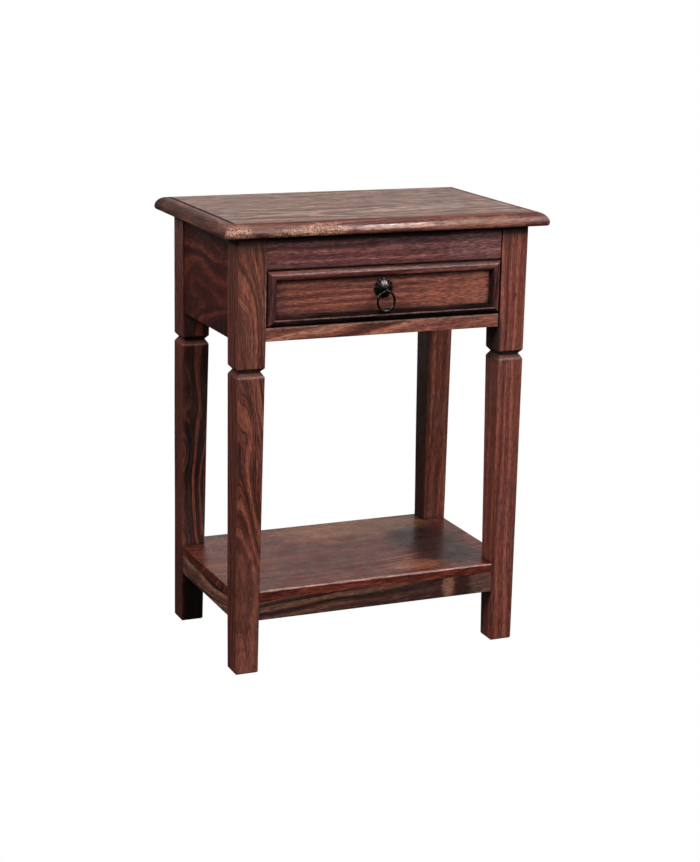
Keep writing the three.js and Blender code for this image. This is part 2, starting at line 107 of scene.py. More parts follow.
class Nodes:
    """Builds a node tree. An input is given as a socket to link or as a value to set."""

    def __init__(self, tree):
        self.tree = tree
        self.tree.nodes.clear()

    def add(self, kind, inputs=None, **settings):
        node = self.tree.nodes.new("ShaderNode" + kind)
        for name, value in settings.items():
            setattr(node, name, value)
        for name, value in (inputs or {}).items():
            if isinstance(value, bpy.types.NodeSocket):
                self.tree.links.new(value, node.inputs[name])
            else:
                node.inputs[name].default_value = value
        return node

    def math(self, operation, a, b=0.0, c=0.0):
        return self.add("Math", {0: a, 1: b, 2: c}, operation=operation).outputs[0]

    def vector(self, operation, a, b=(0, 0, 0)):
        return self.add("VectorMath", {0: a, 1: b}, operation=operation).outputs[0]

    def noise(self, place, detail=2.0, roughness=0.5):
        """Noise with features about one unit across."""
        return self.add("TexNoise", {
            "Vector": place, "Scale": 1.0, "Detail": detail, "Roughness": roughness,
        })

    def scale(self, place, x, y, z):
        return self.vector("MULTIPLY", place, (x, y, z))

    def spread(self, value, low, high, to_low=0.0, to_high=1.0, smooth=True):
        """value from low..high to to_low..to_high, clamped."""
        kind = "SMOOTHSTEP" if smooth else "LINEAR"
        inputs = {"Value": value, "From Min": low, "From Max": high, "To Min": to_low, "To Max": to_high}
        return self.add("MapRange", inputs, interpolation_type=kind).outputs[0]

    def ramp(self, value, stops):
        node = self.add("ValToRGB", {"Fac": value})
        elements = node.color_ramp.elements
        elements[0].position, elements[0].color = stops[0]
        elements[1].position, elements[1].color = stops[-1]
        for position, colour in stops[1:-1]:
            elements.new(position).color = colour
        return node.outputs["Color"]

    def mix(self, share, a, b, blend="MIX"):
        inputs = {0: share, 6: a, 7: b}
        return self.add("Mix", inputs, data_type="RGBA", blend_type=blend).outputs[2]

    def shelter(self, reach, inside=False):
        """How open the surface is within a reach: low in corners or, looking inside, on arrises."""
        return self.add("AmbientOcclusion", {"Distance": reach}, samples=6, inside=inside).outputs["AO"]

    def shade(self, colour, factor):
        """colour times a single number."""
        grey = self.add("CombineColor", {0: factor, 1: factor, 2: factor}).outputs[0]
        return self.mix(1.0, colour, grey, "MULTIPLY")


def new_material(name):
    material = bpy.data.materials.new(name)
    material.use_nodes = True
    return material, Nodes(material.node_tree)


def finish_material(nodes, **inputs):
    surface = nodes.add("BsdfPrincipled", inputs)
    nodes.add("OutputMaterial", {"Surface": surface.outputs[0]})


# ---------------------------------------------------------------- wood
AXES = {"x": Vector((1, 0, 0)), "y": Vector((0, 1, 0)), "z": Vector((0, 0, 1))}
DIRT_AND_SHADE = (30, 14, 12)  # dull near-black: dirt in the joints, and painted shade in corners, grooves, gaps and under things
BARE = (168, 112, 90)  # wood rubbed bare on the arrises

# the wood's noises: how many features there are in a metre along the grain, and across it
BENDS = (5.5, 16)
FLAMES = (14, 120)
STREAKS = (4, 210)
CLOUDS = (7, 22)
FLECKS = (110, 620)
THREADS = (30, 1100)
PORES = (130, 2300)
HOLLOWS = (25, 90)

# how far apart the logs of two seeds are, in metres along the grain and in rings
LOG_STEP = 0.37
RING_STEP = 3.1

# the reach of the shading that finds corners and arrises
CORNER_REACH = 9 * MM
ARRIS_REACH = 3 * MM


def grain_frame(along, lean):
    """Rotation to a frame whose X runs along the grain, leaned a little by two angles in degrees."""
    first = AXES[along]
    second = AXES["y" if along == "x" else "x"]
    third = first.cross(second)
    slopes = [math.tan(math.radians(angle)) for angle in lean]
    axis = (first + second * slopes[0] + third * slopes[1]).normalized()
    side = (second - axis * second.dot(axis)).normalized()
    return Matrix((axis, side, axis.cross(side)))


def grain_place(nodes, centre, along, heart, lean):
    """The place in the log: X along the grain, with the heart of the tree on the X axis."""
    turn = grain_frame(along, lean)
    point = turn @ centre + Vector((0, heart[0], heart[1])) * MM
    place = nodes.add("TexCoord").outputs["Object"]
    return nodes.add("Mapping", {
        "Vector": place, "Location": -point, "Rotation": turn.to_euler(),
    }).outputs[0]


def grain_noise(nodes, log, density, detail, roughness=0.5):
    """Noise drawn out along the grain."""
    along, across = density
    return nodes.noise(nodes.scale(log, along, across, across), detail, roughness)


def patch(at, size, colour, strength=0.8, ragged=1.2, speckled=False, matt=False):
    """A patch of another colour on a piece, with its middle and its half sizes in mm.

    strength is how much it covers, ragged how uneven its rim is. speckled breaks it into grains, and matt
    takes the shine off.
    """
    return dict(at=at, size=size, colour=colour, strength=strength, ragged=ragged, speckled=speckled,
                matt=matt or colour == DIRT_AND_SHADE)


def patch_mask(nodes, place, spot, wobble):
    """Up to the patch's strength inside it and 0 outside it."""
    from_centre = nodes.vector("SUBTRACT", place, tuple(c * MM for c in spot["at"]))
    unit = nodes.scale(from_centre, *(1 / (r * MM) for r in spot["size"]))
    distance = nodes.add("VectorMath", {0: unit}, operation="LENGTH").outputs["Value"]
    uneven = nodes.math("MULTIPLY_ADD", wobble, spot["ragged"], distance)
    return nodes.spread(uneven, 1.9, 0.9, 0.0, spot["strength"])


def ring_colours(nodes, log, ring, wander, seed, shades, streaks, veins):
    """The colour of the growth rings, which slow noise pushes about, and of the thin veins between them."""
    slow = grain_noise(nodes, log, BENDS, detail=1.5).outputs["Color"]
    reach = 4 * wander * MM
    push = nodes.vector("SUBTRACT", slow, (0.5, 0.5, 0.5))
    bent = nodes.vector("ADD", log, nodes.vector("MULTIPLY", push, (0, reach, reach)))
    across = nodes.scale(bent, 0, 1, 1)
    from_heart = nodes.add("VectorMath", {0: across}, operation="LENGTH").outputs["Value"]
    count = nodes.math("MULTIPLY_ADD", from_heart, 1 / (ring * MM), seed * RING_STEP)
    bands = nodes.add("TexNoise", {
        "W": count, "Scale": 1.0, "Detail": 2.0, "Roughness": 0.55,
    }, noise_dimensions="1D").outputs[0]
    flame = grain_noise(nodes, log, FLAMES, detail=3.0, roughness=0.6).outputs[0]
    streak = grain_noise(nodes, bent, STREAKS, detail=3.0, roughness=0.6).outputs[0]
    figure = nodes.math("MULTIPLY_ADD", flame, 0.25, nodes.math("MULTIPLY", bands, 0.9))
    figure = nodes.math("MULTIPLY_ADD", streak, 0.2, nodes.math("SUBTRACT", figure, 0.175))

    dark, mid, light = shades
    low, middle, high = streaks
    dusky = (0.55 * d + 0.45 * m for d, m in zip(dark, mid))
    colour = nodes.ramp(figure, [
        (low - 0.06, linear(*dark)), (low + 0.03, linear(*dusky)),
        (middle, linear(*mid)), (high, linear(*light)),
    ])
    change = nodes.math("SUBTRACT", nodes.math("MULTIPLY_ADD", flame, 0.1, bands), 0.55)
    return nodes.shade(colour, nodes.spread(nodes.math("ABSOLUTE", change), 0.0, 0.04, 1 - veins, 1.0))


def add_patches(nodes, place, colour, patches):
    """Lays the patches over the colour. Also returns how matt they make it."""
    dull = 0.0
    if patches:
        grit = nodes.noise(nodes.scale(place, 60, 60, 60), detail=4.0, roughness=0.65).outputs[0]
        wobble = nodes.math("SUBTRACT", grit, 0.5)
    for spot in patches:
        mask = patch_mask(nodes, place, spot, wobble)
        if spot["speckled"]:
            grains = nodes.noise(nodes.scale(place, 560, 560, 560), detail=2.0, roughness=0.7).outputs[0]
            mask = nodes.math("MULTIPLY", mask, nodes.spread(grains, 0.44, 0.54))
        if spot["matt"]:
            dull = nodes.math("MAXIMUM", dull, mask)
        colour = nodes.mix(mask, colour, linear(*spot["colour"]))
    return colour, dull


def wood(
    name, centre, along,
    heart=(30, 45),  # how far the heart of the tree lies from the board's middle, in mm, to its two sides
    lean=(1.5, 1.0),  # the angles between the grain and the board, in degrees
    ring=5.0,  # the width of a growth ring in mm
    wander=5.0,  # how far the rings are pushed about, in mm
    seed=0.0,  # another number is another log
    dark=(44, 20, 17), mid=(104, 58, 46), light=(138, 84, 64),  # the rings' shades
    streaks=(0.34, 0.50, 0.68),  # where the dark, mid and light shades lie in the figure
    veins=0.25,  # how dark the lines between the rings are
    tint=(96, 62, 56), blotch=0.35,  # the hue of slow clouds, and how strong they are
    fibre=0.55, coarse=1.0,  # the contrast and the size of the flecks
    bumpy=0.55,  # the strength of the relief
    gloss=0.42, ior=1.42,  # the oiled wood's roughness and index of refraction
    coat=0.2, polish=0.3,  # the lacquer's share and roughness
    rubbed=0.4,  # how bare the arrises are
    patches=(),
):
    """Oiled and lacquered rosewood: growth rings round the heart, fibres, pores, clouds, painted shade in
    the corners, dirt and wear.
    """
    material, nodes = new_material(name)
    log = grain_place(nodes, centre, along, heart, lean)
    log = nodes.vector("ADD", log, (seed * LOG_STEP, 0, 0))
    colour = ring_colours(nodes, log, ring, wander, seed, (dark, mid, light), streaks, veins)
    cloud = grain_noise(nodes, log, CLOUDS, detail=3.0, roughness=0.55).outputs[0]
    colour = nodes.mix(nodes.spread(cloud, 0.42, 0.68, 0.0, blotch), colour, linear(*tint))
    place = nodes.add("TexCoord").outputs["Object"]
    colour, dull = add_patches(nodes, place, colour, patches)

    # short flecks, long fibres and pores
    fleck_density = (FLECKS[0] / coarse, FLECKS[1] / coarse)
    flecks = grain_noise(nodes, log, fleck_density, detail=2.0, roughness=0.6).outputs[0]
    threads = grain_noise(nodes, log, THREADS, detail=3.0, roughness=0.65).outputs[0]
    for lines in (flecks, threads):
        colour = nodes.shade(colour, nodes.spread(lines, 0.3, 0.7, 1 - fibre, 1 + fibre, smooth=False))
    pores = grain_noise(nodes, log, PORES, detail=1.0).outputs[0]
    pore_depth = nodes.spread(pores, 0.40, 0.31)
    colour = nodes.shade(colour, nodes.math("MULTIPLY_ADD", pore_depth, -0.45, 1.0))

    # painted shade in the corners, made matt there too, and bare arrises
    shut = nodes.shelter(CORNER_REACH)
    colour = nodes.shade(colour, nodes.spread(shut, 0.35, 0.95, 0.2, 1.0))
    dull = nodes.math("MAXIMUM", dull, nodes.spread(shut, 0.8, 0.4))
    if rubbed:
        arris = nodes.shelter(ARRIS_REACH, inside=True)
        uneven = nodes.noise(nodes.scale(place, 70, 70, 70), detail=3.0).outputs[0]
        worn = nodes.math("MULTIPLY", nodes.spread(arris, 0.75, 0.35), nodes.spread(uneven, 0.38, 0.6))
        colour = nodes.mix(nodes.math("MULTIPLY", worn, rubbed), colour, linear(*BARE))

    relief = nodes.math("MULTIPLY_ADD", threads, 0.35, nodes.math("MULTIPLY", pore_depth, -0.6))
    hollows = grain_noise(nodes, log, HOLLOWS, detail=3.0).outputs[0]
    relief = nodes.math("MULTIPLY_ADD", hollows, 4.0, relief)
    bump = nodes.add("Bump", {"Height": relief, "Strength": bumpy, "Distance": 0.25 * MM}).outputs[0]
    smear = nodes.noise(nodes.scale(place, 35, 35, 35), detail=3.0).outputs[0]
    rough = nodes.spread(smear, 0.3, 0.7, gloss - 0.07, gloss + 0.1)
    rough = nodes.math("MULTIPLY_ADD", pore_depth, 0.2, rough)
    rough = nodes.math("MULTIPLY_ADD", dull, 0.45, rough)
    coated = nodes.math("MULTIPLY_ADD", dull, -coat, coat) if coat else 0.0
    finish_material(nodes, **{
        "Base Color": colour, "Roughness": rough, "Normal": bump, "IOR": ior,
        "Coat Weight": coated, "Coat Roughness": polish,
    })
    return material


# ---------------------------------------------------------------- metals


def black_iron(name, rubbed):
    """Forged iron, blackened and waxed, a little rusty, bright on its arrises, and paler in a patch that is
    rubbed iron and painted highlight.
    """
    material, nodes = new_material(name)
    place = nodes.add("TexCoord").outputs["Object"]
    fine = nodes.noise(nodes.scale(place, 700, 700, 700), detail=4.0, roughness=0.6).outputs[0]
    coarse = nodes.noise(nodes.scale(place, 160, 160, 160), detail=2.0).outputs[0]
    colour = nodes.ramp(fine, [
        (0.35, linear(12, 10, 10)), (0.6, linear(34, 30, 30)), (0.75, linear(52, 38, 30)),
    ])
    arris = nodes.shelter(1.5 * MM, inside=True)
    worn = nodes.math("MULTIPLY", nodes.spread(arris, 0.6, 0.2, 0.0, 0.5), nodes.spread(coarse, 0.4, 0.6))
    colour = nodes.mix(worn, colour, linear(120, 112, 108))
    mask = patch_mask(nodes, place, rubbed, nodes.math("SUBTRACT", coarse, 0.5))
    colour = nodes.mix(mask, colour, linear(*rubbed["colour"]))
    height = nodes.math("MULTIPLY_ADD", coarse, 3.0, fine)
    bump = nodes.add("Bump", {"Height": height, "Strength": 0.6, "Distance": 0.15 * MM}).outputs[0]
    rough = nodes.spread(fine, 0.3, 0.7, 0.2, 0.4)
    finish_material(nodes, **{
        "Base Color": colour, "Roughness": rough, "Normal": bump, "Metallic": 0.85,
        "Coat Weight": 0.6, "Coat Roughness": 0.12,
    })
    return material


def zinc_steel(name):
    material, nodes = new_material(name)
    place = nodes.add("TexCoord").outputs["Object"]
    fine = nodes.noise(nodes.scale(place, 500, 500, 500), detail=4.0).outputs[0]
    colour = nodes.ramp(fine, [(0.35, linear(128, 126, 118)), (0.65, linear(186, 186, 180))])
    bump = nodes.add("Bump", {"Height": fine, "Strength": 0.4, "Distance": 0.1 * MM}).outputs[0]
    rough = nodes.spread(fine, 0.3, 0.7, 0.3, 0.5)
    finish_material(nodes, **{"Base Color": colour, "Roughness": rough, "Normal": bump, "Metallic": 1.0})
    return material


# ---------------------------------------------------------------- surfaces
BODY_OF = {node: body for body, nodes in frame["record"]["behaviour"]["bodies"].items() for node in nodes}
SLOT_OF = {part["node"]: part["material_slot"] for part in frame["record"]["subparts"]}
BEND = 0.35 * MM  # how far hand work leaves the carcass out of true sideways
SETTLE = 0.3 * MM  # and how far it lowers the top
BENDS_PER_METRE = 6.0
WELD = 0.02 * MM  # points closer than this are one


def hand_made(place):
    """Where a point of the carcass really lies. One slow field bends all its pieces, so joints stay shut."""
    slow = place * BENDS_PER_METRE
    x = BEND * noise.noise(slow + Vector((0, 0, 31)))
    y = BEND * noise.noise(slow + Vector((17, 5, 0)))
    drop = SETTLE * (0.5 + 0.5 * noise.noise(slow + Vector((3, 71, 9))))
    low, high = cad_box
    return Vector((
        place.x * (1 - BEND / high[0]) + x,
        place.y * (1 - BEND / high[1]) + y,
        place.z - drop * place.z / high[2],
    ))


def soften(bm, arris, crisp):
    """Rounds the outer edges of a closed mesh, but not those that lie within the crisp range of heights."""
    bmesh.ops.remove_doubles(bm, verts=bm.verts, dist=WELD)
    bmesh.ops.dissolve_limit(bm, angle_limit=math.radians(0.3), verts=bm.verts, edges=bm.edges)
    edges = []
    for edge in bm.edges:
        heights = [v.co.z for v in edge.verts]
        outer = edge.is_manifold and edge.is_convex and edge.calc_face_angle(0) > math.radians(20)
        if outer and not (crisp[0] < min(heights) and max(heights) < crisp[1]):
            edges.append(edge)
    bmesh.ops.bevel(bm, geom=edges, offset=arris, offset_type="OFFSET", segments=3, profile=0.5,
                    affect="EDGES", clamp_overlap=True)


def grid(bm, cell):
    """Cuts the faces by planes square to the axes, about cell apart."""
    places = [v.co.copy() for v in bm.verts]
    for axis in range(3):
        low = min(place[axis] for place in places)
        high = max(place[axis] for place in places)
        steps = round((high - low) / cell)
        normal = Vector((0, 0, 0))
        normal[axis] = 1
        for i in range(1, steps):
            at = normal * (low + (high - low) * i / steps)
            geometry = list(bm.verts) + list(bm.edges) + list(bm.faces)
            bmesh.ops.bisect_plane(bm, geom=geometry, dist=WELD, plane_co=at, plane_no=normal)


def make_piece(name, bm, node, material):
    """Turns a mesh into the piece that stands for a CAD node."""
    if BODY_OF[node] == "carcass":
        for vertex in bm.verts:
            vertex.co = hand_made(vertex.co)
    bmesh.ops.recalc_face_normals(bm, faces=bm.faces)
    mesh = bpy.data.meshes.new(name)
    bm.to_mesh(mesh)
    bm.free()
    mesh.shade_smooth()
    mesh.set_sharp_from_angle(angle=math.radians(35))
    mesh.materials.append(material)
    piece = bpy.data.objects.new(name, mesh)
    bpy.context.scene.collection.objects.link(piece)
    weighted = piece.modifiers.new("weighted_normals", "WEIGHTED_NORMAL")
    weighted.keep_sharp = True
    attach(piece, BODY_OF[node])
    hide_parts(node)
    return piece


def board(node, material, arris=1.0, cell=14.0, crisp=(0, 0)):
    """The CAD piece again, with softened arrises and a grid fine enough to bend."""
    bm = bmesh.new()
    bm.from_mesh(frame["nodes"][node].data)
    soften(bm, arris * MM, crisp)
    grid(bm, cell * MM)
    return make_piece(node + "_fine", bm, node, material)


def centre_of(node):
    low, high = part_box(node)
    return (low + high) / 2


def corners(node):
    """The node's lowest and highest corners in mm."""
    low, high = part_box(node)
    return low / MM, high / MM


# ---------------------------------------------------------------- mouldings


def ellipse(centre, radii, start, end, steps, fullness=0.0):
    """Points of an elliptical arc from angle start to end, in degrees. fullness swells it at 45 degrees."""
    angles = [math.radians(start + (end - start) * i / steps) for i in range(steps + 1)]
    swell = [1 + fullness * math.sin(2 * a) ** 2 for a in angles]
    return [(centre[0] + radii[0] * math.cos(a) * k, centre[1] + radii[1] * math.sin(a) * k)
            for a, k in zip(angles, swell)]


def mitred_strip(section, inner, outwards, up, middle, station=5.0, worn=0.0):
    """A closed strip with a section of (out, height) points in mm, mitred at 45 degrees at both ends.

    inner is its length in mm at out = 0. outwards and up are the directions of the section's two axes, and
    middle is the point in the row frame, in metres, from which both are counted. Its outside is worn back
    unevenly, by up to worn mm.
    """
    along = outwards.cross(up)
    reach = max(out for out, _ in section)
    steps = round(inner / station)
    bm = bmesh.new()
    rows = []
    for i in range(steps + 1):
        share = 2 * i / steps - 1
        row = []
        for out, height in section:
            flat = middle + along * (share * (inner / 2 + out) * MM) + up * (height * MM)
            dent = 0.5 + 0.35 * noise.noise(flat * 50) + 0.3 * noise.noise(flat * 160)
            out -= worn * dent * out / reach
            row.append(bm.verts.new(flat + outwards * (out * MM)))
        rows.append(row)
    size = len(section)
    for before, after in zip(rows, rows[1:]):
        for i in range(size):
            j = (i + 1) % size
            bm.faces.new((before[i], before[j], after[j], after[i]))
    bm.faces.new(rows[0])
    bm.faces.new(reversed(rows[-1]))
    return bm


# ---------------------------------------------------------------- legs
LEG_WOODS = {
    "leg_front_left": dict(
        heart=(-34, 52), lean=(-4.5, 2.0), ring=6.0, wander=10.0, seed=2.0,
        mid=(109, 59, 46), light=(136, 78, 60), dark=(46, 19, 16), streaks=(0.36, 0.48, 0.66),
        veins=0.85, blotch=0.4, fibre=0.45,
    ),
    "leg_front_right": dict(
        heart=(40, -60), lean=(0.6, 0.3), ring=6.0, wander=3.0, seed=5.0,
        mid=(125, 67, 54), light=(146, 84, 69), dark=(86, 42, 35),
        veins=0.3, fibre=0.45,
    ),
    # very dark: dark wood, and painted shade from the carcass over its front
    "leg_back_left": dict(
        heart=(-12, 40), lean=(2.0, 1.2), ring=3.6, wander=12.0, seed=8.0,
        mid=(46, 14, 10), light=(112, 56, 42), dark=(9, 4, 3), streaks=(0.40, 0.50, 0.62),
        veins=0.7, fibre=0.5,
    ),
    "leg_back_right": dict(
        heart=(55, 20), lean=(0.8, 0.5), ring=9.0, wander=4.0, seed=11.0,
        mid=(116, 62, 47), light=(140, 82, 64), dark=(76, 36, 27),
        veins=0.4, blotch=0.5,
    ),
}
GROOVE_Z = 408  # the middle of the V-groove round each leg, in mm
FACE = 20  # from a leg's axis to just off its faces, in mm

# patches on all the legs and on single ones: x and y count from the leg's axis, z from the floor
LEG_PATCHES = (
    patch((0, 0, GROOVE_Z - 3), (90, 90, 4), (94, 54, 46), 0.85, ragged=0.6, matt=True),  # the lower slope
    patch((0, 0, GROOVE_Z + 1.2), (90, 90, 2.4), DIRT_AND_SHADE, 0.95, ragged=0.4),  # painted shade in the bottom of the groove
    patch((0, -FACE, GROOVE_Z - 7), (24, 12, 1.0), (156, 122, 112), 0.45, ragged=2.2),  # its lower arris paler: wear and a painted highlight
    patch((0, 0, 579), (90, 90, 6), DIRT_AND_SHADE, 0.85, ragged=0.4),  # painted shade under the top
)
SINGLE_LEG_PATCHES = {
    "leg_front_left": (
        # its inner arris paler: a painted highlight, with wear
        patch((FACE, -FACE, 500), (1.6, 2.5, 38), (164, 128, 114), 0.7, ragged=1.6),
        # a darker band where the shelf meets the leg: painted shade
        patch((-6, 0, 118), (12, 60, 9), (50, 23, 22), 0.5),
        patch((0, -FACE, 510), (14, 6, 90), (146, 90, 68), 0.15),
        patch((0, -FACE, 60), (24, 6, 90), (150, 90, 70), 0.22),
        patch((-FACE, 0, 300), (6, 24, 330), (84, 38, 30), 0.3),
    ),
    "leg_back_left": (
        # painted shade on the foot below the shelf
        patch((0, 0, 40), (60, 60, 44), (14, 5, 4), 0.9, ragged=0.3),
        # its left face lighter than the rest of this darkened leg: painted light where the left lamp falls
        patch((-FACE, 0, 300), (4, 24, 330), (112, 58, 49), 0.42),
    ),
    "leg_front_right": (
        # its left arris paler: a painted highlight, with wear
        patch((-FACE, -FACE, 530), (2.2, 2.5, 30), (150, 104, 92), 0.6, ragged=1.6),
        patch((3, -FACE, 489), (1.6, 6, 2.6), (70, 24, 22), 0.8),  # a knot
        # painted shadow of the rail on its left face above the groove
        patch((-19, 0, 431), (3, 60, 22), DIRT_AND_SHADE, 0.85, ragged=0.4),
    ),
    "leg_back_right": (
        # its left face darker: painted shade on the side away from the lamps
        patch((-19, 0, 280), (6, 60, 330), (52, 12, 3), 0.7),
        # painted shade at the top of its front, under the rail
        patch((0, -18, 442), (40, 8, 18), (44, 20, 16), 0.6, ragged=1.0),
    ),
}


def build_legs():
    for node, figure in LEG_WOODS.items():
        centre = centre_of(node)
        x, y, _ = centre / MM
        patches = [
            dict(spot, at=(x + spot["at"][0], y + spot["at"][1], spot["at"][2]))
            for spot in LEG_PATCHES + SINGLE_LEG_PATCHES[node]
        ]
        board(node, wood(node + "_wood", centre, "z", patches=patches, **figure), arris=1.3, cell=13)


# ---------------------------------------------------------------- aprons and rails
APRON_WOOD = dict(
    heart=(60, 80), lean=(3, 3), ring=13.0, wander=20.0,
    mid=(78, 27, 19), light=(102, 46, 33), dark=(38, 13, 10), tint=(60, 22, 17), streaks=(0.37, 0.50, 0.65),
    veins=0.4, gloss=0.46, coat=0.1,
)
UPPER_RAIL_WOOD = dict(
    heart=(50, 70), lean=(0.5, 0.5), ring=7.0, wander=4.0, seed=23,
    mid=(110, 60, 57), light=(144, 90, 84), dark=(64, 33, 34), tint=(86, 54, 57),
    fibre=0.7, coat=0.1,
)
LOWER_RAIL_WOOD = dict(
    heart=(20, 24), lean=(4.0, 3.0), ring=6.0, wander=5.0, seed=27,
    mid=(138, 80, 66), light=(168, 112, 88), dark=(80, 40, 32),
    rubbed=0.8,
)


def build_aprons():
    for node, along, seed in (("apron_left", "y", 14), ("apron_right", "y", 17), ("apron_back", "x", 20)):
        board(node, wood(node + "_wood", centre_of(node), along, seed=seed, **APRON_WOOD), arris=0.8)


def build_rails():
    node = "rail_above_drawer"
    low, high = corners(node)
    patches = [
        # painted shade under the top's moulding
        patch((0, low.y, high.z - 3.7), (400, 20, 4), DIRT_AND_SHADE, 0.95, ragged=0.4),
        # painted shade in the gap above the drawer
        patch((0, low.y, low.z - 0.5), (400, 20, 1.6), DIRT_AND_SHADE, 0.85, ragged=0.4),
        patch((134, low.y, low.z + 18.5), (34, 12, 15), (136, 98, 97), 0.35, ragged=1.5),
    ]
    board(node, wood(node + "_wood", centre_of(node), "x", patches=patches, **UPPER_RAIL_WOOD), arris=0.8)
    node = "rail_below_drawer"
    low, high = corners(node)
    # its top arris paler: wear and a painted highlight
    patches = [patch((0, low.y, high.z), (300, 3, 1.6), (186, 148, 128), 0.7, ragged=1.2)]
    board(node, wood(node + "_wood", centre_of(node), "x", patches=patches, **LOWER_RAIL_WOOD), arris=1.0)


# ---------------------------------------------------------------- shelf
SHELF_RAIL_WOOD = dict(
    heart=(25, 30), lean=(2, 2), ring=6.0, wander=8.0,
    mid=(74, 43, 36), light=(108, 74, 58), dark=(24, 11, 10), tint=(62, 38, 34), streaks=(0.38, 0.5, 0.64),
    blotch=0.6, rubbed=0.0,
)
PALE_SHELF_RAIL = dict(mid=(120, 78, 67), light=(150, 110, 91))
SHELF_WOOD = dict(
    heart=(50, 60), lean=(1, 1), ring=8.0, wander=10.0, seed=42,
    mid=(99, 41, 28), light=(126, 66, 46), dark=(46, 14, 9), tint=(83, 36, 25),
    blotch=0.5, coarse=1.5, bumpy=0.2, gloss=0.27, ior=1.39, coat=0.08,
)


def build_shelf_rails(joint):
    """The rails under the shelf board, left crisp in the joint's range of heights."""
    for node, along, seed in (("shelf_rail_front", "x", 30), ("shelf_rail_back", "x", 33),
                              ("shelf_rail_left", "y", 36), ("shelf_rail_right", "y", 39)):
        figure = dict(SHELF_RAIL_WOOD, seed=seed)
        patches = []
        if node == "shelf_rail_left":
            figure.update(PALE_SHELF_RAIL)
        if node == "shelf_rail_front":
            low, _ = corners(node)
            face = low.y + 0.4
            patches = [
                patch((105, face, low.z + 15.5), (6.5, 9, 11), (146, 104, 84), 0.7, ragged=0.8),
                patch((128, face, low.z + 11.5), (9, 9, 14), (40, 21, 19), 0.7, ragged=1.8),
                patch((158, face, low.z + 13.5), (14, 9, 16), (112, 80, 70), 0.55, ragged=2.0),
            ]
        material = wood(node + "_wood", centre_of(node), along, patches=patches, **figure)
        board(node, material, arris=0.8, crisp=joint)


def build_shelf():
    low, high = corners("shelf_board")
    joint = ((low.z - 2) * MM, (low.z + 2) * MM)
    build_shelf_rails(joint)
    top = high.z + 0.5
    patches = [
        # dark patches at the right end: dark wood, and a painted reflection of the legs at that end
        patch((132, 10, top), (34, 80, 9), (32, 7, 4), 0.88, ragged=2.0),
        patch((130, low.y + 48.4, top), (48, 18, 9), (36, 18, 16), 0.75, ragged=2.0),
        # the front arris, pale with wear and a painted highlight, and the edge under it
        patch((0, low.y + 0.9, high.z - 0.5), (200, 2.2, 0.9), (186, 152, 140), 0.75, ragged=3.0),
        patch((0, low.y + 0.4, high.z - 5.5), (210, 2, 4), (104, 50, 43), 0.35, ragged=1.5),
        # golden patches at the front and the back
        patch((70, low.y + 36.4, top), (26, 14, 9), (150, 96, 70), 0.5, ragged=2.0),
        patch((60, high.y - 34.4, top), (80, 26, 9), (146, 104, 74), 0.5, ragged=1.5),
    ]
    material = wood("shelf_board_wood", centre_of("shelf_board"), "x", patches=patches, **SHELF_WOOD)
    board("shelf_board", material, arris=0.9, crisp=joint)


# ---------------------------------------------------------------- top
# its edge is a thumbnail moulding, with the same section as the frame's, in mm
NOSE_OUT, NOSE_DROP, NOSE_TUCK = 17.5, 13.5, 2.8
TOP_FLAT, EDGE_GAP = 2.0, 0.3
# the top's pale greyish shades: the wood's tone, with painted sheen of the room's light
TOP_WOOD = dict(
    heart=(-60, -40), lean=(1.0, 0.6), ring=9.0, wander=10.0, seed=45, streaks=(0.34, 0.50, 0.66),
    mid=(120, 93, 82), light=(150, 122, 109), dark=(80, 54, 46), tint=(121, 104, 95),
    blotch=0.6, fibre=0.75, coarse=2.2, gloss=0.42, ior=1.45, coat=0.12, rubbed=0.0,
)
EDGE_WOOD = dict(
    heart=(10, 12), lean=(1, 1), ring=5.0, wander=6.0,
    mid=(87, 42, 33), light=(114, 64, 49), dark=(52, 20, 17), tint=(84, 47, 42),
    blotch=0.7, gloss=0.5, coat=0.25, polish=0.1, rubbed=0.5,
)
LEFT_EDGE = dict(mid=(98, 60, 49), light=(136, 92, 74), dark=(32, 16, 14), tint=(48, 26, 23))
WORN_GOLD = (192, 146, 118)


def nose_section(thick, seam):
    """The moulding's outline in mm, from its top inner arris round the nose. seam eases that arris."""
    middle = thick - NOSE_DROP
    nose = ellipse((TOP_FLAT, middle), (NOSE_OUT - TOP_FLAT, NOSE_DROP), 90, 0, 20)
    tuck = ellipse((NOSE_OUT - NOSE_TUCK, middle), (NOSE_TUCK, middle - 0.2), 0, -75, 6)
    return [
        (EDGE_GAP, thick - seam), (EDGE_GAP + seam * 0.3, thick - seam * 0.3), (EDGE_GAP + seam, thick),
        *nose, *tuck[1:], (NOSE_OUT - NOSE_TUCK - 0.6, 0.0), (EDGE_GAP, 0.0),
    ]


def front_wear_and_highlight():
    """Wear and a painted highlight on the front moulding: gold specks at the left, a pale highlight along
    the middle of the nose, and paler wood to the right.
    """
    low, _ = corners("top_moulding_front")
    front, under = low.y, low.z
    return [
        patch((-208, front + 2, under + 6), (13, 14, 8), WORN_GOLD, 0.7, ragged=2.0, speckled=True),
        patch((-136, front, under + 4), (22, 12, 4.5), WORN_GOLD, 0.6, ragged=2.0, speckled=True),
        patch((-95, front + 1, under + 7), (26, 14, 6), WORN_GOLD, 0.65, ragged=2.0, speckled=True),
        # a painted highlight along the middle of the nose
        patch((0, front + 1, under + 8), (50, 12, 2.0), (206, 170, 160), 0.6, ragged=2.5),
        patch((120, front + 1, under + 7), (60, 14, 6), (158, 106, 84), 0.4, ragged=2.0),
    ]


